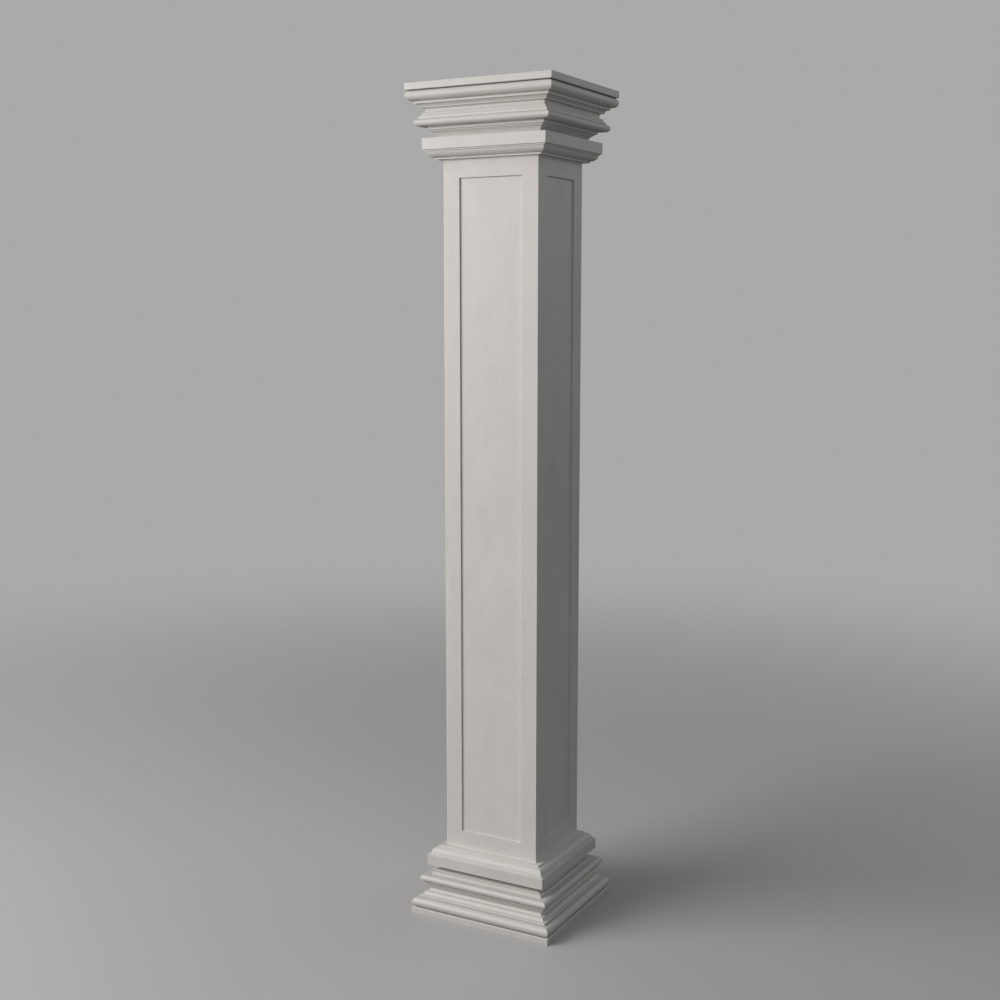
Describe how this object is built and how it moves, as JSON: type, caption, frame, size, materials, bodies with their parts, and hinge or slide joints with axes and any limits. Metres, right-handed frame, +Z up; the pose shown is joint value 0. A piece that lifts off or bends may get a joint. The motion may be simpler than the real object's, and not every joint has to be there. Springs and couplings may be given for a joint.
{
  "type": "marble column",
  "caption": "Oblong marble column: a shaft with a sunk panel on each face, between a moulded base and a matching capital, under and over a thin square-edged slab.",
  "frame": {"origin": "centre of the plinth's underside, on the ground", "axes": "+Z up the column; the broad faces of the shaft look along -Y and +Y, the narrow faces along -X and +X"},
  "size_m": [0.567, 0.533, 3],
  "materials": {
    "shaft_marble": "honed off-white marble with faint cloudy veining",
    "moulded_marble": "honed off-white marble, carved mouldings with eased arrises",
    "slab_marble": "honed off-white marble slab with eased edges"
  },
  "bodies": {
    "root": {"plinth": "slab_marble", "base": "moulded_marble", "shaft": "shaft_marble", "capital": "moulded_marble", "abacus": "slab_marble"}
  },
  "joints": []
}
